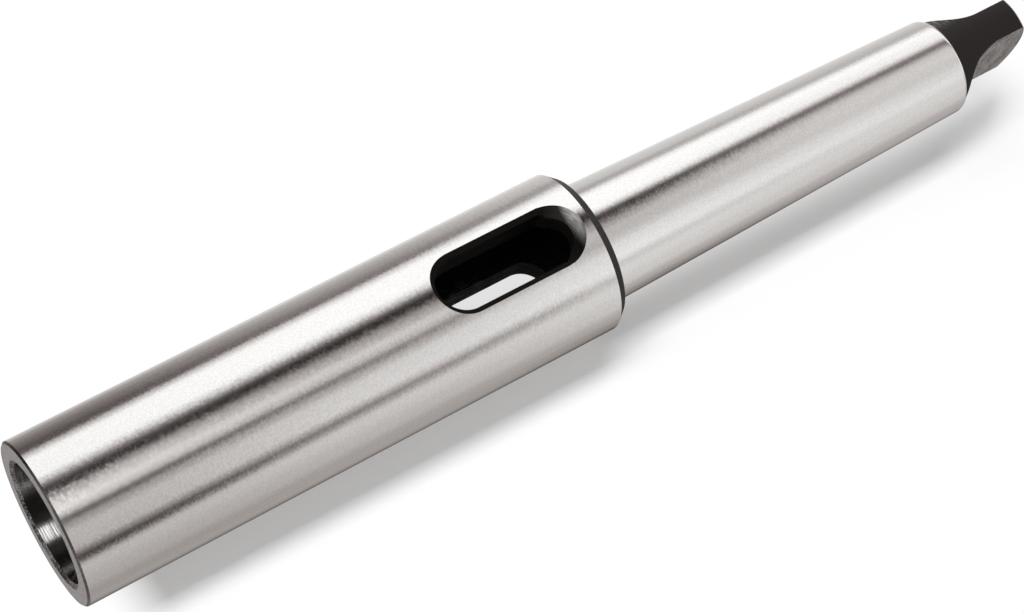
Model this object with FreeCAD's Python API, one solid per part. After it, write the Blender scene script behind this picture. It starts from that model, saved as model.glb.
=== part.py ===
import FreeCAD, Part
import math
import os

# Extension sleeve for taper shank tools, with a self-holding taper of size 3 inside and out.
# It is one piece, turned and ground from steel bar, and it stands on its mouth:
# z = 0 is the mouth face, +Z runs along the axis to the tang, and the drift slot
# goes through the socket along Y. All sizes are in millimetres.

# Taper shared by the socket and the shank
TAPER_RATIO = 19.922

# Socket body
SOCKET_DIAMETER = 32.5
SOCKET_LENGTH = 113.5
MOUTH_CHAMFER = 0.4
SHOULDER_CHAMFER = 1.5

# Tapered bore, its bevelled mouth and the drilled relief behind it
BORE_GAUGE_DIAMETER = 23.825
BORE_BEVEL_WIDTH = 0.8
BORE_BEVEL_DEPTH = 0.55
RELIEF_DIAMETER = 20.2
RELIEF_DEPTH = 111.5
DRILL_POINT_ANGLE = 118.0

# Drift slot through both walls of the socket, with its outer edges chamfered
SLOT_WIDTH = 11.2
SLOT_START = 79.3
SLOT_LENGTH = 30.0
SLOT_CHAMFER = 0.8

# Tapered shank
SHANK_DIAMETER = 24.1
SHANK_LENGTH = 86.0
SHANK_END_RADIUS = 1.2

# Tang: a short turned neck with a crowned end and two milled flats
NECK_DIAMETER = 18.0
TANG_REACH = 18.5
TANG_CROWN = 2.3
TANG_THICKNESS = 7.0
NECK_GAP = 0.2
RUN_OUT_RADIUS = 6.8
CUTTER_FLAT_RADIUS = 15.6

# How far a cutting tool stands past the metal that it cuts
TOOL_OVERRUN = 2.0

# How closely an edge lies on a surface that it is matched to
MATCH = 0.01

# Places along the axis
shoulder_z = SOCKET_LENGTH
shank_end_z = shoulder_z + SHANK_LENGTH
total_length = shank_end_z + TANG_REACH
cutter_z = shank_end_z + NECK_GAP + RUN_OUT_RADIUS + CUTTER_FLAT_RADIUS

# Radii
socket_radius = SOCKET_DIAMETER / 2
shank_radius = SHANK_DIAMETER / 2
neck_radius = NECK_DIAMETER / 2
relief_radius = RELIEF_DIAMETER / 2
bore_radius = BORE_GAUGE_DIAMETER / 2
taper_slope = 1 / (2 * TAPER_RATIO)

ORIGIN = FreeCAD.Vector(0, 0, 0)
AXIS = FreeCAD.Vector(0, 0, 1)


def point(radius, z):
    """A point of a turned profile, in the XZ half plane."""
    return FreeCAD.Vector(radius, 0, z)


def line(start, end):
    return Part.LineSegment(start, end).toShape()


def arc_about(centre, radius, first_angle, last_angle):
    """An arc in the XZ plane; its angles are measured from +X towards +Z."""
    spots = []
    for angle in (first_angle, (first_angle + last_angle) / 2, last_angle):
        step = FreeCAD.Vector(radius * math.cos(angle), 0, radius * math.sin(angle))
        spots.append(centre + step)
    return Part.Arc(spots[0], spots[1], spots[2]).toShape(), spots[0], spots[2]


def turned(edges):
    """The solid that a closed profile sweeps round the axis."""
    face = Part.Face(Part.Wire(edges))
    return face.revolve(ORIGIN, AXIS, 360)


def shank_corner():
    """The rounded edge where the ground cone meets the small end of the shank."""
    lean = math.atan(taper_slope)
    centre_z = shank_end_z - SHANK_END_RADIUS
    cone_radius = shank_radius - (centre_z - shoulder_z) * taper_slope
    centre = point(cone_radius - SHANK_END_RADIUS / math.cos(lean), centre_z)
    return arc_about(centre, SHANK_END_RADIUS, lean, math.pi / 2)


def crown():
    """The domed end of the tang, from the side of the neck to the axis."""
    dome_radius = (neck_radius**2 + TANG_CROWN**2) / (2 * TANG_CROWN)
    centre = point(0, total_length - dome_radius)
    edge_angle = math.acos(neck_radius / dome_radius)
    return arc_about(centre, dome_radius, edge_angle, math.pi / 2)


def turned_blank():
    """Socket body, tapered shank and tang blank, as turned before any bore or cut."""
    corner, cone_end, face_start = shank_corner()
    dome, dome_edge, dome_top = crown()
    corners = [
        ORIGIN,
        point(socket_radius - MOUTH_CHAMFER, 0),
        point(socket_radius, MOUTH_CHAMFER),
        point(socket_radius, shoulder_z - SHOULDER_CHAMFER),
        point(socket_radius - SHOULDER_CHAMFER, shoulder_z),
        point(shank_radius, shoulder_z),
        cone_end,
    ]
    edges = [line(start, end) for start, end in zip(corners, corners[1:])]
    neck_root = point(neck_radius, shank_end_z)
    edges.append(corner)
    edges.append(line(face_start, neck_root))
    edges.append(line(neck_root, dome_edge))
    edges.append(dome)
    edges.append(line(dome_top, ORIGIN))
    return turned(edges)


def bore():
    """Bevelled mouth, tapered seat, drilled relief and drill point."""
    taper_end_z = (bore_radius - relief_radius) / taper_slope
    bevel_end_radius = bore_radius - BORE_BEVEL_DEPTH * taper_slope
    mouth_radius = bore_radius + BORE_BEVEL_WIDTH
    point_depth = relief_radius / math.tan(math.radians(DRILL_POINT_ANGLE / 2))
    corners = [
        point(0, -TOOL_OVERRUN),
        point(mouth_radius, -TOOL_OVERRUN),
        point(mouth_radius, 0),
        point(bevel_end_radius, BORE_BEVEL_DEPTH),
        point(relief_radius, taper_end_z),
        point(relief_radius, RELIEF_DEPTH),
        point(0, RELIEF_DEPTH + point_depth),
    ]
    edges = [line(start, end) for start, end in zip(corners, corners[1:] + corners[:1])]
    return turned(edges)


def drift_slot():
    """A slot with round ends, milled through the socket along Y."""
    half = SLOT_WIDTH / 2
    low_z = SLOT_START + half
    high_z = SLOT_START + SLOT_LENGTH - half
    high_end, high_right, high_left = arc_about(point(0, high_z), half, 0, math.pi)
    low_end, low_left, low_right = arc_about(point(0, low_z), half, math.pi, 2 * math.pi)
    edges = [high_end, line(high_left, low_left), low_end, line(low_right, high_right)]
    face = Part.Face(Part.Wire(edges))
    reach = socket_radius + TOOL_OVERRUN
    face.translate(FreeCAD.Vector(0, -reach, 0))
    return face.extrude(FreeCAD.Vector(0, 2 * reach, 0))


def flat_cutter():
    """The round-cornered cutter that mills the flat of the tang on the +X side."""
    flat_x = TANG_THICKNESS / 2
    outer_x = neck_radius + TOOL_OVERRUN
    corner_x = flat_x + RUN_OUT_RADIUS
    rim_z = cutter_z - CUTTER_FLAT_RADIUS - RUN_OUT_RADIUS
    flat_end_z = cutter_z - CUTTER_FLAT_RADIUS
    far_x = max(outer_x, corner_x) + TOOL_OVERRUN
    corner, corner_start, corner_end = arc_about(
        FreeCAD.Vector(corner_x, 0, flat_end_z), RUN_OUT_RADIUS, math.pi, 1.5 * math.pi
    )
    corners = [
        corner_end,
        FreeCAD.Vector(far_x, 0, rim_z),
        FreeCAD.Vector(far_x, 0, cutter_z),
        FreeCAD.Vector(flat_x, 0, cutter_z),
        corner_start,
    ]
    edges = [line(start, end) for start, end in zip(corners, corners[1:])]
    edges.append(corner)
    face = Part.Face(Part.Wire(edges))
    disc = face.revolve(FreeCAD.Vector(0, 0, cutter_z), FreeCAD.Vector(1, 0, 0), 360)
    travel = max(total_length - cutter_z, 0) + TOOL_OVERRUN
    past_disc = Part.makeBox(
        far_x - flat_x,
        2 * CUTTER_FLAT_RADIUS,
        travel,
        FreeCAD.Vector(flat_x, -CUTTER_FLAT_RADIUS, cutter_z),
    )
    return disc.fuse(past_disc)


def slot_rims(shape):
    """The edges where the drift slot breaks out of the socket's outer surface."""
    slot_middle_z = SLOT_START + SLOT_LENGTH / 2
    rims = []
    for edge in shape.Edges:
        middle = edge.valueAt((edge.FirstParameter + edge.LastParameter) / 2)
        on_surface = abs(math.hypot(middle.x, middle.y) - socket_radius) < MATCH
        in_width = abs(middle.x) < SLOT_WIDTH / 2 + MATCH
        in_length = abs(middle.z - slot_middle_z) < SLOT_LENGTH / 2 + MATCH
        if on_surface and in_width and in_length:
            rims.append(edge)
    return rims


def taper_sleeve():
    """The finished sleeve: the turned blank less its bore, slot and two tang flats."""
    slotted = turned_blank().cut(drift_slot())
    broken = slotted.makeChamfer(SLOT_CHAMFER, slot_rims(slotted))
    near_cutter = flat_cutter()
    far_cutter = near_cutter.copy()
    far_cutter.rotate(ORIGIN, AXIS, 180)
    return broken.cut([bore(), near_cutter, far_cutter]).Solids[0]


os.makedirs("parts", exist_ok=True)
sleeve = taper_sleeve()
sleeve.exportStep("parts/taper_sleeve.step")

box = sleeve.BoundBox
print("valid", sleeve.isValid(), "volume", round(sleeve.Volume, 1))
print("X", round(box.XMin, 3), round(box.XMax, 3), "Z", round(box.ZMin, 3), round(box.ZMax, 3))
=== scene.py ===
import math

import bpy
from mathutils import Matrix, Vector


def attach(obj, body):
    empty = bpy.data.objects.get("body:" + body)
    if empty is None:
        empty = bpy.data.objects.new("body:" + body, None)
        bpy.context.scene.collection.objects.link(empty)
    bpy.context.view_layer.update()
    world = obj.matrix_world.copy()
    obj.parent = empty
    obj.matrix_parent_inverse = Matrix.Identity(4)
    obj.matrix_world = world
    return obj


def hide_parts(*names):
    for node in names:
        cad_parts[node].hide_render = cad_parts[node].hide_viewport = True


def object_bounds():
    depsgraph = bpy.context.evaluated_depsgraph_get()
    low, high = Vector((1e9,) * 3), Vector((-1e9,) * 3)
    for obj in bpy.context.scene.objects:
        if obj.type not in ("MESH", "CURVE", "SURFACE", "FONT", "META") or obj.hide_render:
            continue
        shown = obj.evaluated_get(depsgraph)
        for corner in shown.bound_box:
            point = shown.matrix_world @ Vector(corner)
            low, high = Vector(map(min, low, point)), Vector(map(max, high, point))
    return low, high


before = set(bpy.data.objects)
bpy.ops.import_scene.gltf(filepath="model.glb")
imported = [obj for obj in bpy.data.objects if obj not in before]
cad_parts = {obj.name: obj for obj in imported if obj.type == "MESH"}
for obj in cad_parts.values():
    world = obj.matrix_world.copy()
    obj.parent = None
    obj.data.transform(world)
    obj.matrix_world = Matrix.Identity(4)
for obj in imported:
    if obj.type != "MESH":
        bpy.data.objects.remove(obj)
cad_low, cad_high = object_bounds()
mm = 0.001

# The blank: one bar of tool steel, turned to the socket body, the tapered shank and a short neck,
# then bored with a self-holding taper and drilled on behind it to clear a tool's tang.
# Its outline runs from the drill point out through the mouth and back to the domed end.
body_radius = cad_high.x
sleeve_length = cad_high.z
taper_slope = 1 / (2 * 19.922)
socket_length = 113.5 * mm
mouth_chamfer = 0.4 * mm
shoulder_chamfer = 1.5 * mm
shoulder_chamfer_length = 1.85 * mm
bore_radius = 11.9125 * mm
bevel_width = 0.8 * mm
bevel_depth = 0.55 * mm
relief_radius = 10.1 * mm
relief_depth = 111.5 * mm
drill_point_angle = math.radians(118)
shank_radius = 12.05 * mm
shank_length = 86.0 * mm
shank_end_radius = 1.2 * mm
neck_radius = 9.0 * mm
crown_height = 2.3 * mm
worn_edge = 0.16 * mm
shank_end = socket_length + shank_length

# What each stretch of the outline is left as by the last tool that touched it
GROUND, BLACKENED, MILLED, FACED, REAMED, DRILLED, SUNK, RUBBED = range(8)


def stretch(start, end, finish, steps=1, held=0.0):
    """Points from start towards end, the end left out; held adds a point close to each end."""
    shares = [step / steps for step in range(steps)]
    if held:
        length = math.dist(start, end)
        shares = [0.0, held / length] + shares[1:] + [1 - held / length]
    return [(start[0] + (end[0] - start[0]) * share, start[1] + (end[1] - start[1]) * share, finish)
            for share in shares]


def bend(centre, radius, first, last, finish, steps):
    """Points of an arc about centre, its last point left out; angles run from outwards to upwards."""
    turns = [first + (last - first) * step / steps for step in range(steps)]
    return [(centre[0] + radius * math.cos(turn), centre[1] + radius * math.sin(turn), finish)
            for turn in turns]


def blank_outline():
    """The sleeve's half section as (radius, height, finish), from the drill point to the dome."""
    point_height = relief_depth + relief_radius / math.tan(drill_point_angle / 2)
    taper_end = (bore_radius - relief_radius) / taper_slope
    bevel_end = (bore_radius - bevel_depth * taper_slope, bevel_depth)
    lean = math.atan(taper_slope)
    corner_height = shank_end - shank_end_radius
    cone_radius = shank_radius - (corner_height - socket_length) * taper_slope
    corner = (cone_radius - shank_end_radius / math.cos(lean), corner_height)
    cone_end = (corner[0] + shank_end_radius * math.cos(lean),
                corner[1] + shank_end_radius * math.sin(lean))
    dome_radius = (neck_radius**2 + crown_height**2) / (2 * crown_height)
    dome_centre = (0.0, sleeve_length - dome_radius)
    dome_edge_turn = math.acos(neck_radius / dome_radius)
    dome_edge = (neck_radius, dome_centre[1] + dome_radius * math.sin(dome_edge_turn))
    worn_turn = math.acos((neck_radius - worn_edge) / dome_radius)
    outline = stretch((0.0, point_height), (relief_radius, relief_depth), DRILLED, 3)
    outline += stretch((relief_radius, relief_depth), (relief_radius, taper_end), DRILLED, 4)
    outline += stretch((relief_radius, taper_end), bevel_end, REAMED, 4, held=0.3 * mm)
    outline += stretch(bevel_end, (bore_radius + bevel_width, 0.0), RUBBED)
    outline += stretch((bore_radius + bevel_width, 0.0), (body_radius - mouth_chamfer, 0.0), FACED)
    outline += stretch((body_radius - mouth_chamfer, 0.0), (body_radius, mouth_chamfer), RUBBED)
    outline += stretch((body_radius, mouth_chamfer),
                       (body_radius, socket_length - shoulder_chamfer_length), GROUND, 6, held=0.3 * mm)
    outline += stretch((body_radius, socket_length - shoulder_chamfer_length),
                       (body_radius - shoulder_chamfer, socket_length), BLACKENED)
    outline += stretch((body_radius - shoulder_chamfer, socket_length),
                       (shank_radius, socket_length), BLACKENED)
    outline += stretch((shank_radius, socket_length), cone_end, GROUND, 4, held=0.3 * mm)
    outline += bend(corner, shank_end_radius, lean, math.pi / 2, GROUND, 10)
    outline += stretch((corner[0], shank_end), (neck_radius, shank_end), BLACKENED)
    outline += stretch((neck_radius, shank_end), (neck_radius, dome_edge[1] - worn_edge), BLACKENED, 3)
    outline.append((neck_radius, dome_edge[1] - worn_edge, MILLED))
    outline += bend(dome_centre, dome_radius, worn_turn, math.pi / 2, BLACKENED, 14)
    outline.append((0.0, sleeve_length, BLACKENED))
    return outline


def outline_object(name, outline):
    """The outline's points in order, in the XZ plane, each with its finish stored on it."""
    mesh = bpy.data.meshes.new(name)
    mesh.from_pydata([(radius, 0.0, height) for radius, height, _ in outline], [], [])
    finishes = mesh.attributes.new("finish", "INT", "POINT")
    finishes.data.foreach_set("value", [finish for _, _, finish in outline])
    piece = bpy.data.objects.new(name, mesh)
    bpy.context.scene.collection.objects.link(piece)
    return piece


def add_node(tree, kind, **settings):
    """A new node of a tree, with its settings and, by socket name or number, its input values."""
    node = tree.nodes.new(kind)
    values = settings.pop("values", {})
    for setting, value in settings.items():
        setattr(node, setting, value)
    for socket, value in values.items():
        if isinstance(value, bpy.types.NodeSocket):
            tree.links.new(value, node.inputs[socket])
        else:
            node.inputs[socket].default_value = value
    return node


def math_node(tree, operation, *values):
    """The result of a sum on numbers, in geometry and in shader trees."""
    node = add_node(tree, "ShaderNodeMath", operation=operation, values=dict(enumerate(values)))
    return node.outputs[0]


def turning_group():
    """Sweeps an outline's points round the Z axis, as a lathe does, into one closed skin."""
    weld_distance = 0.0001 * mm
    group = bpy.data.node_groups.new("turn_on_lathe", "GeometryNodeTree")
    face = group.interface
    face.new_socket("Outline", in_out="INPUT", socket_type="NodeSocketGeometry")
    face.new_socket("Steps round", in_out="INPUT", socket_type="NodeSocketInt")
    face.new_socket("Turned", in_out="OUTPUT", socket_type="NodeSocketGeometry")
    inlet = add_node(group, "NodeGroupInput")
    count = add_node(group, "GeometryNodeAttributeDomainSize", values={"Geometry": inlet.outputs[0]})
    points = count.outputs["Point Count"]
    steps = inlet.outputs["Steps round"]
    rows = math_node(group, "ADD", steps, 1)
    grid = add_node(group, "GeometryNodeMeshGrid", values={"Vertices X": rows, "Vertices Y": points})
    index = add_node(group, "GeometryNodeInputIndex").outputs[0]
    middle = math_node(group, "ADD", index, 0.5)
    row = math_node(group, "FLOOR", math_node(group, "DIVIDE", middle, points))
    place = math_node(group, "SUBTRACT", index, math_node(group, "MULTIPLY", row, points))
    where = add_node(group, "GeometryNodeInputPosition").outputs[0]
    spot = add_node(group, "GeometryNodeSampleIndex", data_type="FLOAT_VECTOR",
                    values={"Geometry": inlet.outputs[0], "Value": where, "Index": place})
    turn = math_node(group, "MULTIPLY", math_node(group, "DIVIDE", row, steps), 2 * math.pi)
    swung = add_node(group, "ShaderNodeVectorRotate", rotation_type="Z_AXIS",
                     values={"Vector": spot.outputs[0], "Angle": turn})
    skin = add_node(group, "GeometryNodeSetPosition",
                    values={"Geometry": grid.outputs["Mesh"], "Position": swung.outputs[0]})
    spans = math_node(group, "SUBTRACT", points, 1)
    face_row = math_node(group, "FLOOR", math_node(group, "DIVIDE", middle, spans))
    span = math_node(group, "SUBTRACT", index, math_node(group, "MULTIPLY", face_row, spans))
    named = add_node(group, "GeometryNodeInputNamedAttribute", data_type="INT", values={"Name": "finish"})
    finish = add_node(group, "GeometryNodeSampleIndex", data_type="INT",
                      values={"Geometry": inlet.outputs[0], "Value": named.outputs["Attribute"],
                              "Index": span})
    kept = add_node(group, "GeometryNodeStoreNamedAttribute", data_type="INT", domain="FACE",
                    values={"Geometry": skin.outputs[0], "Name": "finish", "Value": finish.outputs[0]})
    closed = add_node(group, "GeometryNodeMergeByDistance",
                      values={"Geometry": kept.outputs[0], "Distance": weld_distance})
    add_node(group, "NodeGroupOutput", values={"Turned": closed.outputs[0]})
    return group


# The drift slot: milled through both walls with a round-nosed tool, its outer edges broken by a
# chamfer. On the near side the chamfer widens to a countersink at the shoulder end, where the
# drill went in first. A flat drift goes in there, behind the tool's tang, and drives the tool out.
slot_half_width = 5.6 * mm
slot_start = 79.3 * mm
slot_end = 109.3 * mm
far_chamfer = 0.8 * mm
near_chamfer = 0.85 * mm
near_chamfer_depth = 1.0 * mm
near_side_inset = 0.3 * mm
far_side_widening = 0.4 * mm
countersink_reach = 1.25 * mm
countersink_depth = 1.8 * mm


def slot_cutter():
    """The solid that the slot and its chamfers take away: a waisted bar, wider on the far side."""
    low, high = slot_start + slot_half_width, slot_end - slot_half_width
    end_steps = 40
    full_countersink = 0.5
    flare = 0.6
    overrun = 3 * mm
    outline = []
    for height, first in ((high, 0.0), (low, math.pi)):
        for step in range(end_steps + 1):
            turn = first + math.pi * step / end_steps
            outward = Vector((math.cos(turn), math.sin(turn)))
            outline.append((Vector((0.0, height)) + slot_half_width * outward, outward))
    near, far = [[], [], []], [[], [], []]
    sunk = []
    for spot, outward in outline:
        share = min(max(outward.y / full_countersink, 0.0), 1.0)
        share = share * share * (3 - 2 * share)
        depth = near_chamfer_depth + share * (countersink_depth - near_chamfer_depth)
        sunk.append(share > 0.5)
        near_inset = max(share * countersink_reach, abs(outward.x) * near_side_inset)
        far_inset = -abs(outward.x) * far_side_widening
        for rings, side, width, drop, inset in ((near, -1, near_chamfer, depth, near_inset),
                                                (far, 1, far_chamfer, far_chamfer, far_inset)):
            swing = math.asin(spot.x / body_radius)
            rolled_out = Vector((outward.x * math.cos(swing), outward.y)).normalized()
            wide_swing = swing + width * rolled_out.x / body_radius
            wide = Vector((body_radius * math.sin(wide_swing), side * body_radius * math.cos(wide_swing),
                           spot.y + width * rolled_out.y))
            inner = spot - inset * outward
            inner_height = math.sqrt(body_radius**2 - inner.x**2) - drop
            deep = Vector((inner.x, side * inner_height, inner.y))
            flared = wide + flare * (wide - deep)
            rings[0].append(Vector((flared.x, side * (body_radius + overrun), flared.z)))
            rings[1].append(flared)
            rings[2].append(deep)
    rings = near + far[::-1]
    count = len(outline)
    faces, finishes = [], []
    for here in range(len(rings) - 1):
        for step in range(count):
            after = (step + 1) % count
            faces.append([(here + 1) * count + step, (here + 1) * count + after,
                          here * count + after, here * count + step])
            if here == 1 and sunk[step] and sunk[after]:
                finishes.append(SUNK)
            else:
                finishes.append(DRILLED if here in (1, 2) else BLACKENED)
    faces.append(list(range(count)))
    faces.append(list(range(len(rings) * count - 1, (len(rings) - 1) * count - 1, -1)))
    finishes += [BLACKENED, BLACKENED]
    mesh = bpy.data.meshes.new("slot_cutter")
    mesh.from_pydata([spot for ring in rings for spot in ring], [], faces)
    mesh.attributes.new("finish", "INT", "FACE").data.foreach_set("value", finishes)
    piece = bpy.data.objects.new("slot_cutter", mesh)
    bpy.context.scene.collection.objects.link(piece)
    return piece


# The tang: two flats milled on the neck with a round-cornered cutter, whose run-out leaves the
# curved root by the shank. The machine spindle drives the sleeve by these flats.
tang_half_thickness = 3.5 * mm
run_out_radius = 6.8 * mm
cutter_flat_radius = 15.6 * mm
neck_gap = 0.2 * mm
cutter_width = 12.0 * mm
cutter_height = shank_end + neck_gap + run_out_radius + cutter_flat_radius


def cutter_outline():
    """Half section of the tang's milling cutter about its own axis, its flat face at the bottom."""
    rim = cutter_flat_radius + run_out_radius
    outline = stretch((0.0, 0.0), (cutter_flat_radius, 0.0), MILLED, 3, held=0.2 * mm)
    outline += bend((cutter_flat_radius, run_out_radius), run_out_radius, -math.pi / 2, 0.0, BLACKENED, 24)
    outline += stretch((rim, run_out_radius), (rim, cutter_width), MILLED)
    outline += stretch((rim, cutter_width), (0.0, cutter_width), MILLED)
    outline.append((0.0, cutter_width, MILLED))
    return outline


def sleeve_tree(turning, finishes):
    """Turns the blank, mills the slot and both tang flats, and gives each face its finish."""
    tree = bpy.data.node_groups.new("make_sleeve", "GeometryNodeTree")
    face = tree.interface
    for label, kind in (("Blank outline", "Geometry"), ("Cutter outline", "Object"),
                        ("Slot cutter", "Object"), ("Steps round", "Int"),
                        ("Half thickness of tang", "Float"), ("Cutter height", "Float")):
        face.new_socket(label, in_out="INPUT", socket_type="NodeSocket" + kind)
    face.new_socket("Sleeve", in_out="OUTPUT", socket_type="NodeSocketGeometry")
    inlet = add_node(tree, "NodeGroupInput")
    steps = inlet.outputs["Steps round"]

    def turned(outline):
        node = add_node(tree, "GeometryNodeGroup", node_tree=turning)
        tree.links.new(outline, node.inputs["Outline"])
        tree.links.new(steps, node.inputs["Steps round"])
        return node.outputs[0]

    def brought_in(label):
        node = add_node(tree, "GeometryNodeObjectInfo", values={"Object": inlet.outputs[label]})
        return node.outputs["Geometry"]

    blank = turned(inlet.outputs["Blank outline"])
    disc = turned(brought_in("Cutter outline"))
    cutters = [brought_in("Slot cutter")]
    for side in (1, -1):
        offset = math_node(tree, "MULTIPLY", inlet.outputs["Half thickness of tang"], side)
        place = add_node(tree, "ShaderNodeCombineXYZ",
                         values={"X": offset, "Z": inlet.outputs["Cutter height"]})
        moved = add_node(tree, "GeometryNodeTransform",
                         values={"Geometry": disc, "Translation": place.outputs[0],
                                 "Rotation": (0.0, side * math.pi / 2, 0.0)})
        cutters.append(moved.outputs[0])
    cut = add_node(tree, "GeometryNodeMeshBoolean", operation="DIFFERENCE", solver="MANIFOLD",
                   values={0: blank})
    for cutter in cutters:
        tree.links.new(cutter, cut.inputs[1])
    made = cut.outputs[0]
    mark = add_node(tree, "GeometryNodeInputNamedAttribute", data_type="INT", values={"Name": "finish"})
    for number, material in enumerate(finishes):
        chosen = add_node(tree, "FunctionNodeCompare", data_type="INT", operation="EQUAL")
        tree.links.new(mark.outputs["Attribute"], chosen.inputs[2])
        chosen.inputs[3].default_value = number
        painted = add_node(tree, "GeometryNodeSetMaterial",
                           values={"Geometry": made, "Selection": chosen.outputs[0], "Material": material})
        made = painted.outputs[0]
    real = add_node(tree, "GeometryNodeRealizeInstances", values={0: made})
    add_node(tree, "NodeGroupOutput", values={"Sleeve": real.outputs[0]})
    return tree


# The finishes: the body and the shank are ground bright, and the mouth faced, after the sleeve is
# hardened and blackened, so the black stays in the chamfers, the slot, the neck and the tang's sides.
# The flats are milled bare, the taper seat is reamed, and the relief behind it is as drilled.
steel_colour = (0.78, 0.765, 0.755, 1.0)
dull_steel_colour = (0.55, 0.54, 0.53, 1.0)
black_colour = (0.014, 0.0115, 0.0105, 1.0)


def new_material(name, colour, metallic, roughness):
    """A material with its shader, and the object coordinates that its patterns follow."""
    material = bpy.data.materials.new(name)
    material.use_nodes = True
    tree = material.node_tree
    shader = tree.nodes["Principled BSDF"]
    shader.inputs["Base Color"].default_value = colour
    shader.inputs["Metallic"].default_value = metallic
    shader.inputs["Roughness"].default_value = roughness
    coordinates = add_node(tree, "ShaderNodeTexCoord").outputs["Object"]
    return material, tree, shader, coordinates


def noise(tree, vector, scale, detail=2.0):
    """Noise whose grains are about 1/scale long on each axis, in metres; three values near 0.5."""
    spread = add_node(tree, "ShaderNodeMapping", vector_type="POINT",
                      values={"Vector": vector, "Scale": scale})
    return add_node(tree, "ShaderNodeTexNoise", noise_dimensions="3D",
                    values={"Vector": spread.outputs[0], "Scale": 1.0, "Detail": detail, "Roughness": 0.55})


def vector_node(tree, operation, *values):
    node = add_node(tree, "ShaderNodeVectorMath", operation=operation, values=dict(enumerate(values)))
    return node.outputs[0]


def tilted_normal(tree, tilts, second=(0.0, 0.0, 1.0)):
    """The surface's normal, tipped by tool marks: each tilt is (noise, round, along the second way)."""
    normal = add_node(tree, "ShaderNodeNewGeometry").outputs["Normal"]
    around = vector_node(tree, "NORMALIZE", vector_node(tree, "CROSS_PRODUCT", second, normal))
    total = normal
    for pattern, round_tilt, along_tilt in tilts:
        parts = add_node(tree, "ShaderNodeSeparateColor", values={0: pattern.outputs["Color"]})
        for direction, part, amount in ((around, 0, round_tilt), (second, 1, along_tilt)):
            centred = math_node(tree, "SUBTRACT", parts.outputs[part], 0.5)
            tilt = math_node(tree, "MULTIPLY", centred, amount)
            scaled = add_node(tree, "ShaderNodeVectorMath", operation="SCALE",
                              values={0: direction, "Scale": tilt})
            total = vector_node(tree, "ADD", total, scaled.outputs[0])
    return vector_node(tree, "NORMALIZE", total)


def between(tree, value, low, high, new_low, new_high):
    """A value moved smoothly from one range to another."""
    node = add_node(tree, "ShaderNodeMapRange", interpolation_type="SMOOTHSTEP",
                    values={"Value": value, "From Min": low, "From Max": high,
                            "To Min": new_low, "To Max": new_high})
    return node.outputs[0]


def colour_mix(tree, share, first, second):
    """The first colour going over to the second as the share rises from 0 to 1."""
    node = add_node(tree, "ShaderNodeMix", data_type="RGBA")
    for socket, value in ((0, share), (6, first), (7, second)):
        if isinstance(value, bpy.types.NodeSocket):
            tree.links.new(value, node.inputs[socket])
        else:
            node.inputs[socket].default_value = value
    return node.outputs[2]


def round_an_axis(tree, coordinates, first, second, centre=(0.0, 0.0, 0.0)):
    """Coordinates for rings about an axis: the distance from it, and a little of the angle."""
    moved = vector_node(tree, "SUBTRACT", coordinates, centre)
    spot = add_node(tree, "ShaderNodeSeparateXYZ", values={0: moved})
    across, up = spot.outputs[first], spot.outputs[second]
    turn = math_node(tree, "MULTIPLY", math_node(tree, "ARCTAN2", up, across), 1 * mm)
    squares = [math_node(tree, "POWER", way, 2.0) for way in (across, up)]
    radius = math_node(tree, "SQRT", math_node(tree, "ADD", *squares))
    ring = add_node(tree, "ShaderNodeCombineXYZ", values={"X": radius, "Y": turn})
    outward = add_node(tree, "ShaderNodeCombineXYZ", values={first: across, second: up}).outputs[0]
    return ring.outputs[0], vector_node(tree, "NORMALIZE", outward)


def ground_steel():
    """Cylindrically ground: fine rings round the axis, and the wheel's grain between them."""
    dark_grain_colour = (0.75, 0.735, 0.725, 1.0)
    light_grain_colour = (0.815, 0.80, 0.79, 1.0)
    material, tree, shader, coordinates = new_material("ground_steel", steel_colour, 1.0, 0.14)
    rings = noise(tree, coordinates, (420.0, 420.0, 3800.0))
    grain = noise(tree, coordinates, (1700.0, 1700.0, 2300.0))
    mottle = noise(tree, coordinates, (2400.0, 2400.0, 2400.0))
    share = between(tree, mottle.outputs["Fac"], 0.3, 0.7, 0.0, 1.0)
    colour = colour_mix(tree, share, dark_grain_colour, light_grain_colour)
    tree.links.new(colour, shader.inputs["Base Color"])
    normal = tilted_normal(tree, [(rings, 0.01, 0.06), (grain, 0.06, 0.055)])
    tree.links.new(normal, shader.inputs["Normal"])
    tree.links.new(between(tree, grain.outputs["Fac"], 0.3, 0.7, 0.12, 0.17), shader.inputs["Roughness"])
    return material


def blackened_steel():
    """Black oxide over a turned surface, with the tool's rings; by the shank, on the side facing the tent's
    main panel, the rings are painted lighter as a sheen.
    """
    sheen_marks_colour = (0.17, 0.15, 0.14, 1.0)
    material, tree, shader, coordinates = new_material("blackened_steel", black_colour, 0.0, 0.5)
    shader.inputs["Specular IOR Level"].default_value = 0.17
    rings = noise(tree, coordinates, (120.0, 120.0, 2600.0), 3.0)
    marks = noise(tree, coordinates, (500.0, 500.0, 4800.0))
    spot = add_node(tree, "ShaderNodeSeparateXYZ", values={0: coordinates})
    near_shank = between(tree, spot.outputs["Z"], shank_end + 2 * mm, shank_end + 7 * mm, 1.0, 0.0)
    past_shank = between(tree, spot.outputs["Z"], shank_end - 1 * mm, shank_end, 0.0, 1.0)
    # Painted sheen: the lighter marks are kept to the -X side, the side that faces the tent's main panel.
    sheen_side = between(tree, spot.outputs["X"], -6.5 * mm, -3.0 * mm, 1.0, 0.0)
    share = between(tree, marks.outputs["Fac"], 0.42, 0.62, 0.0, 1.0)
    for part in (near_shank, past_shank, sheen_side):
        share = math_node(tree, "MULTIPLY", share, part)
    colour = colour_mix(tree, share, black_colour, sheen_marks_colour)
    tree.links.new(colour, shader.inputs["Base Color"])
    tree.links.new(tilted_normal(tree, [(rings, 0.08, 0.35)]), shader.inputs["Normal"])
    return material


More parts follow.
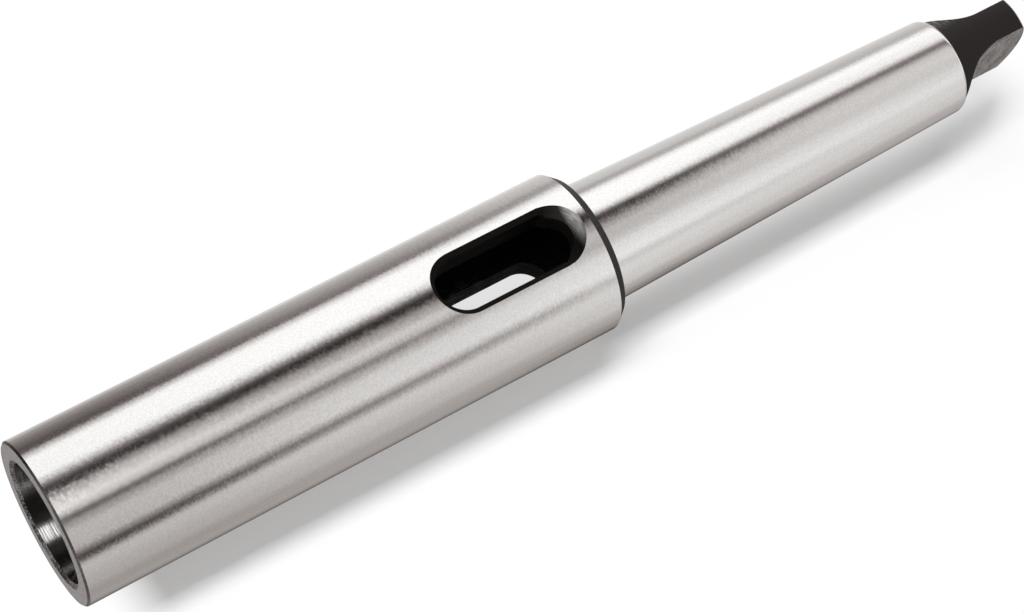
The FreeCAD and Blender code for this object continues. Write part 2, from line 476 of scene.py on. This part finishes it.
def milled_steel():
    """Milled bare and left: grey, with the cutter's marks across it and some darker patches."""
    dark_mark_colour = (0.12, 0.112, 0.107, 1.0)
    light_mark_colour = (0.62, 0.60, 0.59, 1.0)
    material, tree, shader, coordinates = new_material("milled_steel", dull_steel_colour, 1.0, 0.32)
    marks = noise(tree, coordinates, (300.0, 700.0, 6500.0), 3.0)
    patches = noise(tree, coordinates, (300.0, 160.0, 420.0))
    mark = between(tree, marks.outputs["Fac"], 0.34, 0.66, 0.0, 0.65)
    patch = between(tree, patches.outputs["Fac"], 0.35, 0.65, -0.1, 0.35)
    worn = math_node(tree, "ADD", mark, patch)
    colour = colour_mix(tree, worn, dark_mark_colour, light_mark_colour)
    tree.links.new(colour, shader.inputs["Base Color"])
    tree.links.new(tilted_normal(tree, [(marks, 0.35, 0.55)]), shader.inputs["Normal"])
    return material


def faced_steel():
    """The mouth's end face: faced off in the lathe, cool grey, with rings about the axis."""
    dark_speck_colour = (0.50, 0.515, 0.53, 1.0)
    light_speck_colour = (0.70, 0.72, 0.74, 1.0)
    material, tree, shader, coordinates = new_material("faced_steel", dull_steel_colour, 1.0, 0.24)
    ring, outward = round_an_axis(tree, coordinates, 0, 1)
    rings = noise(tree, ring, (3400.0, 420.0, 1.0))
    specks = noise(tree, coordinates, (1300.0, 1300.0, 1300.0))
    share = between(tree, specks.outputs["Fac"], 0.35, 0.62, 0.0, 1.0)
    colour = colour_mix(tree, share, dark_speck_colour, light_speck_colour)
    tree.links.new(colour, shader.inputs["Base Color"])
    normal = tilted_normal(tree, [(rings, 0.05, 0.4), (specks, 0.15, 0.15)], outward)
    tree.links.new(normal, shader.inputs["Normal"])
    return material


def rubbed_steel():
    """The mouth's two bevels: black, with the steel showing in specks; the outer one is plainer."""
    inner_black_colour = (0.07, 0.066, 0.064, 1.0)
    speck_colour = (0.62, 0.62, 0.625, 1.0)
    outer_colour = (0.20, 0.19, 0.185, 1.0)
    inner_reach, outer_start = 14.0 * mm, 15.0 * mm
    material, tree, shader, coordinates = new_material("rubbed_steel", dull_steel_colour, 1.0, 0.3)
    specks = noise(tree, coordinates, (2400.0, 2400.0, 2400.0))
    patches = noise(tree, coordinates, (120.0, 120.0, 120.0))
    patch = between(tree, patches.outputs["Fac"], 0.4, 0.6, -0.12, 0.04)
    worn = math_node(tree, "ADD", specks.outputs["Fac"], patch)
    share = between(tree, worn, 0.36, 0.66, 0.0, 1.0)
    speckled = colour_mix(tree, share, inner_black_colour, speck_colour)
    from_axis = vector_node(tree, "MULTIPLY", coordinates, (1.0, 1.0, 0.0))
    radius = add_node(tree, "ShaderNodeVectorMath", operation="LENGTH", values={0: from_axis})
    outer = between(tree, radius.outputs["Value"], inner_reach, outer_start, 0.0, 0.75)
    colour = colour_mix(tree, outer, speckled, outer_colour)
    tree.links.new(colour, shader.inputs["Base Color"])
    tree.links.new(tilted_normal(tree, [(specks, 0.4, 0.4)]), shader.inputs["Normal"])
    return material


def reamed_steel():
    """The taper seat: reamed, so its rings spread the light along the bore and not round it."""
    seat_colour = (0.38, 0.375, 0.37, 1.0)
    material, tree, shader, coordinates = new_material("reamed_steel", seat_colour, 1.0, 0.25)
    shader.inputs["Anisotropic"].default_value = 0.95
    shader.inputs["Anisotropic Rotation"].default_value = 0.25
    tangent = add_node(tree, "ShaderNodeTangent", direction_type="RADIAL", axis="Z")
    tree.links.new(tangent.outputs[0], shader.inputs["Tangent"])
    rings = noise(tree, coordinates, (160.0, 160.0, 6500.0), 3.0)
    tree.links.new(tilted_normal(tree, [(rings, 0.03, 0.65)]), shader.inputs["Normal"])
    return material


def drilled_steel():
    """The relief bore and the slot's walls: black; the far side's streaks fade to the shoulder."""
    near_colour = (0.008, 0.007, 0.0065, 1.0)
    far_colour = (0.014, 0.0125, 0.012, 1.0)
    streak_colour = (0.26, 0.24, 0.23, 1.0)
    material, tree, shader, coordinates = new_material("drilled_steel", black_colour, 0.0, 0.6)
    shader.inputs["Specular IOR Level"].default_value = 0.02
    streaks = noise(tree, coordinates, (2600.0, 2600.0, 420.0), 3.0)
    share = between(tree, streaks.outputs["Fac"], 0.44, 0.68, 0.0, 1.0)
    spot = add_node(tree, "ShaderNodeSeparateXYZ", values={0: coordinates})
    fading = between(tree, spot.outputs["Z"], 95 * mm, 97 * mm, 1.0, 0.15)
    marked = math_node(tree, "MULTIPLY", share, fading)
    streaked = colour_mix(tree, marked, far_colour, streak_colour)
    far_side = between(tree, spot.outputs["Y"], 6 * mm, 10 * mm, 0.0, 1.0)
    colour = colour_mix(tree, far_side, near_colour, streaked)
    tree.links.new(colour, shader.inputs["Base Color"])
    tree.links.new(tilted_normal(tree, [(streaks, 0.6, 0.2)]), shader.inputs["Normal"])
    return material


def countersunk_steel():
    """The countersink at the slot's end: black, scratched round the drill's axis, and by the shoulder its
    steel is made bright, a painted highlight where the end's bright reflection falls.
    """
    dark_colour = (0.015, 0.014, 0.013, 1.0)
    highlight_steel_colour = (0.34, 0.335, 0.33, 1.0)
    material, tree, shader, coordinates = new_material("countersunk_steel", dull_steel_colour, 1.0, 0.5)
    axis = (0.0, 0.0, slot_end - slot_half_width)
    ring, outward = round_an_axis(tree, coordinates, 0, 2, axis)
    rings = noise(tree, ring, (5200.0, 2600.0, 1.0))
    height = add_node(tree, "ShaderNodeSeparateXYZ", values={0: coordinates}).outputs["Z"]
    # Painted highlight: the steel is made bright only by the shoulder, where the countersink's bright
    # reflection shows.
    bare = between(tree, height, slot_end - 1.6 * mm, slot_end + 0.2 * mm, 0.0, 1.0)
    scratched = between(tree, rings.outputs["Fac"], 0.3, 0.7, 0.5, 1.0)
    share = math_node(tree, "MULTIPLY", scratched, bare)
    colour = colour_mix(tree, share, dark_colour, highlight_steel_colour)
    tree.links.new(colour, shader.inputs["Base Color"])
    tree.links.new(tilted_normal(tree, [(rings, 0.08, 0.35)], outward), shader.inputs["Normal"])
    return material


# The finished sleeve: turned, milled and painted by the node tree, then kept as one plain mesh.
# It stands for the frame's own solid, which has the same form but for the countersink, the slot's
# inner edges, the length of the shoulder chamfer and the wear on the dome's edge.
steps_round = 360
sharp_angle = math.radians(24)
sleeve = outline_object("taper_sleeve_finished", blank_outline())
cutter_profile = outline_object("tang_cutter", cutter_outline())
slot_tool = slot_cutter()
finishes = [ground_steel(), blackened_steel(), milled_steel(), faced_steel(), reamed_steel(),
            drilled_steel(), countersunk_steel(), rubbed_steel()]
tree = sleeve_tree(turning_group(), finishes)
modifier = sleeve.modifiers.new("make_sleeve", "NODES")
modifier.node_group = tree
settings = {
    "Cutter outline": cutter_profile,
    "Slot cutter": slot_tool,
    "Steps round": steps_round,
    "Half thickness of tang": tang_half_thickness,
    "Cutter height": cutter_height,
}
for item in tree.interface.items_tree:
    if item.in_out == "INPUT" and item.name in settings:
        modifier[item.identifier] = settings[item.name]
bpy.context.view_layer.update()
evaluated = sleeve.evaluated_get(bpy.context.evaluated_depsgraph_get())
mesh = bpy.data.meshes.new_from_object(evaluated)
sleeve.modifiers.clear()
sleeve.data = mesh
for number in reversed(range(len(mesh.materials))):
    if mesh.materials[number] is None:
        mesh.materials.pop(index=number)
for helper in (cutter_profile, slot_tool):
    bpy.data.objects.remove(helper)
mesh.shade_smooth()
mesh.set_sharp_from_angle(angle=sharp_angle)
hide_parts("taper_sleeve")
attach(sleeve, "root")

# The floor: a pale sheet that the sleeve lies along, so it is upright here, behind the sleeve.
# Seen from its back it lets the camera through, as if the sleeve were lifted off it.
floor_turn = math.radians(-108.5)
floor_normal = Vector((math.cos(floor_turn), math.sin(floor_turn), 0.0))
floor_half = 1.5


def in_sight(tree, path):
    """1 for what the camera sees, straight or in a mirror or through glass, and 0 for the rest."""
    mirrored = math_node(tree, "MAXIMUM", path.outputs["Is Glossy Ray"], path.outputs["Is Transmission Ray"])
    return math_node(tree, "MAXIMUM", path.outputs["Is Camera Ray"], mirrored)


def floor_material():
    """Pale and matt by the sleeve, where it holds the shadow, and going over to plain white: painted light,
    a white glow for what the camera sees that fills in the floor's shade, more on the side away from the
    sleeve's shadow.
    """
    material, tree, shader, coordinates = new_material("pale_floor", (0.94, 0.94, 0.94, 1.0), 0.0, 0.9)
    across = (-floor_normal.y, floor_normal.x, 0.0)
    side = add_node(tree, "ShaderNodeVectorMath", operation="DOT_PRODUCT",
                    values={0: coordinates, 1: across})
    beside = side.outputs["Value"]
    along = add_node(tree, "ShaderNodeSeparateXYZ", values={0: coordinates}).outputs["Z"]
    # Painted light: the white glow's share is 0.7 on the side away from the sleeve's shadow, 0.25 on its
    # side, and full past the borders, so the floor's shade is left only in a band along one side of the
    # sleeve.
    far = between(tree, beside, -2 * mm, 8 * mm, 0.7, 0.25)
    borders = ((beside, -26 * mm, -14 * mm, 1.0, 0.0), (beside, 12 * mm, 26 * mm, 0.0, 1.0),
               (along, 4 * mm, 20 * mm, 1.0, 0.0), (along, 196 * mm, 232 * mm, 0.0, 1.0))
    for place, low, high, first, last in borders:
        far = math_node(tree, "MAXIMUM", far, between(tree, place, low, high, first, last))
    path = add_node(tree, "ShaderNodeLightPath")
    fade = math_node(tree, "MULTIPLY", far, in_sight(tree, path))
    white = add_node(tree, "ShaderNodeEmission", values={"Color": (1.0, 1.0, 1.0, 1.0), "Strength": 1.0})
    back = add_node(tree, "ShaderNodeNewGeometry").outputs["Backfacing"]
    through = math_node(tree, "MULTIPLY", back, path.outputs["Is Camera Ray"])
    clear = add_node(tree, "ShaderNodeBsdfTransparent")
    surface = shader.outputs[0]
    for share, other in ((fade, white.outputs[0]), (through, clear.outputs[0])):
        mixed = add_node(tree, "ShaderNodeMixShader", values={0: share, 1: surface, 2: other})
        surface = mixed.outputs[0]
    tree.links.new(surface, tree.nodes["Material Output"].inputs["Surface"])
    return material


def upright_sheet(name, normal, half):
    """A square sheet through the sleeve's far side, facing along normal."""
    across = Vector((-normal.y, normal.x, 0.0))
    up = Vector((0.0, 0.0, 1.0))
    middle = -body_radius * normal + Vector((0.0, 0.0, sleeve_length / 2))
    corners = [middle + half * (a * across + b * up) for a, b in ((-1, -1), (1, -1), (1, 1), (-1, 1))]
    data = bpy.data.meshes.new(name)
    data.from_pydata(corners, [], [(0, 1, 2, 3)])
    sheet = bpy.data.objects.new(name, data)
    bpy.context.scene.collection.objects.link(sheet)
    if data.polygons[0].normal.dot(normal) < 0:
        data.flip_normals()
    return sheet


floor = upright_sheet("floor", floor_normal, floor_half)
floor.data.materials.append(floor_material())
floor.visible_glossy = False

# The light tent: a drum of pale cloth round the sleeve, with dark gaps where its panels meet.
# Only the steel sees it, and it gives the long light and dark bands of the reflections. Its low side stands
# in for the floor, which the steel doesn't see, with the sleeve's shadow on it painted in.
tent_radius = 0.8
tent_low, tent_high = -1.5, 2.5

# The cloth's brightness by its angle from straight over the floor, towards the camera's side, as
# it shows in the mouth's end of the body, in the body's middle, in the shoulder and by the tang
tent_panels = {
    "far cloth": [(-145, 0.05, 0.05, 0.03, 0.10), (-138, 0.72, 1.02, 1.00, 0.92),
                  (-122, 0.58, 0.77, 0.84, 0.81), (-105, 0.32, 0.53, 0.75, 0.74),
                  (-88, 0.18, 0.385, 0.70, 0.65)],
    "gap beside the main panel": [(-74, 0.09, 0.24, 0.46, 0.55), (-68, 0.09, 0.16, 0.54, 0.65)],
    "main panel": [(-60, 0.66, 0.83, 1.08, 1.04), (-52, 1.22, 1.26, 1.29, 1.27),
                   (-22, 1.21, 1.27, 1.29, 1.11), (-15, 0.74, 0.98, 1.13, 0.69),
                   (-9, 0.20, 0.36, 0.44, 0.22)],
    "gap over the crown": [(-5, 0.04, 0.06, 0.05, 0.16), (-1, 0.015, 0.01, 0.01, 0.28),
                           (3, 0.015, 0.02, 0.02, 0.46), (7, 0.17, 0.12, 0.10, 0.64)],
    "near panel": [(11, 0.41, 0.33, 0.20, 0.73), (17, 0.60, 0.47, 0.38, 0.77),
                   (27, 0.83, 0.78, 0.57, 0.78), (34, 0.64, 0.63, 0.57, 0.76)],
    "seam": [(41, 0.06, 0.20, 0.60, 0.73), (49, 0.39, 0.50, 0.73, 0.74)],
    "side panel": [(58, 0.59, 0.80, 0.92, 0.83), (79, 0.55, 0.85, 1.03, 0.93),
                   (85, 0.26, 0.58, 0.95, 0.93)],
    "gap beside the side panel": [(91.5, 0.03, 0.21, 0.74, 0.86), (95, 0.08, 0.40, 0.74, 0.83)],
    # The last two rows stand for the floor as the steel would mirror it: a painted reflection, with the
    # sleeve's shadow painted in as the dark stops past 176 degrees; the far cloth's first stop carries that
    # painted shadow on.
    "low cloth": [(105, 0.60, 0.74, 0.85, 0.82), (135, 0.49, 0.59, 0.74, 0.71),
                  (156, 0.38, 0.44, 0.50, 0.52)],
    "floor in the sleeve's shadow": [(176, 0.40, 0.41, 0.30, 0.46), (206, 0.10, 0.10, 0.04, 0.16)],
}
# The same below the mouth, where the cloth is dark but for one lamp panel and a grey screen
low_panels = [(-145, 0.36), (-118, 0.30), (-100, 0.02), (3, 0.02), (9, 7.0), (30, 7.0), (36, 0.02),
              (94, 0.02), (104, 0.5), (138, 0.5), (156, 0.36), (206, 0.36)]


def cloth_ramp(tree, share, stops):
    """The cloth's colour by the share of the way round; it is warmer where it is darker."""
    redder, less_blue = 0.2, 0.05
    ramp = add_node(tree, "ShaderNodeValToRGB", values={0: share})
    band = ramp.color_ramp
    band.interpolation = "EASE"
    band.elements.remove(band.elements[1])
    first_angle = stops[0][0]
    for number, (angle, glow) in enumerate(stops):
        place = (angle - first_angle) / 360
        stop = band.elements[number] if number < 1 else band.elements.new(place)
        stop.position = place
        dark = 1 - min(glow, 1.0)
        stop.color = (glow * (1 + redder * dark**2), glow, glow * (1 - less_blue * dark), 1.0)
    return ramp.outputs[0]


def tent_material():
    """The glow of the cloth, set by the angle round the sleeve and by the height."""
    material = bpy.data.materials.new("tent_cloth")
    material.use_nodes = True
    tree = material.node_tree
    tree.nodes.clear()
    coordinates = add_node(tree, "ShaderNodeTexCoord").outputs["Object"]
    spot = add_node(tree, "ShaderNodeSeparateXYZ", values={0: coordinates})
    turn = math_node(tree, "ARCTAN2", spot.outputs["Y"], spot.outputs["X"])
    first = math.radians(low_panels[0][0]) + floor_turn
    turned = math_node(tree, "DIVIDE", math_node(tree, "SUBTRACT", turn, first), 2 * math.pi)
    share = math_node(tree, "FRACT", turned)
    panels = [stop for stops in tent_panels.values() for stop in stops]
    levels = [low_panels] + [[(stop[0], stop[level]) for stop in panels] for level in (1, 2, 3, 4)]
    rises = ((-1.1, -0.8), (-0.05, 0.10), (0.15, 0.30), (0.31, 0.46), (0.47, 0.645))
    height = spot.outputs["Z"]
    foot_colour = (0.35, 0.34, 0.33, 1.0)
    colour = foot_colour
    for stops, (start, full) in zip(levels, rises):
        here = cloth_ramp(tree, share, stops)
        colour = colour_mix(tree, between(tree, height, start, full, 0.0, 1.0), colour, here)
    glow = add_node(tree, "ShaderNodeEmission", values={"Color": colour, "Strength": 1.0})
    output = add_node(tree, "ShaderNodeOutputMaterial")
    tree.links.new(glow.outputs[0], output.inputs["Surface"])
    return material


def drum(name, radius, low, high, steps=96):
    """A drum about the Z axis, open at the top and closed at the foot."""
    corners = [(radius * math.cos(2 * math.pi * step / steps), radius * math.sin(2 * math.pi * step / steps),
                height) for height in (low, high) for step in range(steps)]
    faces = [(step, steps + step, steps + (step + 1) % steps, (step + 1) % steps) for step in range(steps)]
    faces.append(tuple(range(steps)))
    data = bpy.data.meshes.new(name)
    data.from_pydata(corners, [], faces)
    piece = bpy.data.objects.new(name, data)
    bpy.context.scene.collection.objects.link(piece)
    return piece


tent = drum("light_tent", tent_radius, tent_low, tent_high)
tent.data.materials.append(tent_material())
tent.visible_camera = False
tent.visible_diffuse = False
tent.visible_shadow = False


# The lamp: one soft box straight over the floor, which lights the black parts and throws the
# sleeve's shadow. The world gives the white background and a low even light.
def soft_box(name, turn, distance, width, length, watts):
    """An area lamp that faces the sleeve from the given angle over the floor."""
    lamp = bpy.data.lights.new(name, "AREA")
    lamp.shape = "RECTANGLE"
    lamp.size = width
    lamp.size_y = length
    lamp.energy = watts
    piece = bpy.data.objects.new(name, lamp)
    angle = floor_turn + math.radians(turn)
    away = Vector((math.cos(angle), math.sin(angle), 0.0))
    sleeve_middle = Vector((0.0, 0.0, 0.1))
    piece.location = distance * away + sleeve_middle
    piece.rotation_euler = away.to_track_quat("Z", "Y").to_euler()
    piece.visible_glossy = False
    bpy.context.scene.collection.objects.link(piece)
    return piece


soft_box("soft_box", turn=-2, distance=0.8, width=0.25, length=0.8, watts=5.8)

air_light = 0.3
world = bpy.data.worlds.new("studio")
world.use_nodes = True
bpy.context.scene.world = world
air = world.node_tree
path = add_node(air, "ShaderNodeLightPath")
strength = math_node(air, "MAXIMUM", in_sight(air, path), air_light)
air.links.new(strength, air.nodes["Background"].inputs["Strength"])
air.nodes["Background"].inputs["Color"].default_value = (1.0, 1.0, 1.0, 1.0)

# The camera: where the photograph was taken from, looking up along the sleeve from the mouth's
# side, and rolled so that the sleeve lies along the frame's diagonal.
camera_place = Vector((137.33, -454.48, -72.99)) * mm
camera_aim = Vector((3.38, 0.99, 96.11)) * mm
camera_roll = math.radians(62.66)
lens = bpy.data.cameras.new("camera")
lens.sensor_width = 36.0
lens.lens = 94.77
lens.shift_x = -0.0004
lens.shift_y = -0.0006
lens.clip_start = 0.01
camera = bpy.data.objects.new("camera", lens)
camera.location = camera_place
upright = (camera_aim - camera_place).to_track_quat("-Z", "Y").to_matrix()
camera.rotation_euler = (upright @ Matrix.Rotation(camera_roll, 3, "Z")).to_euler()
bpy.context.scene.collection.objects.link(camera)
bpy.context.scene.camera = camera

bpy.context.scene.view_settings.view_transform = "Standard"
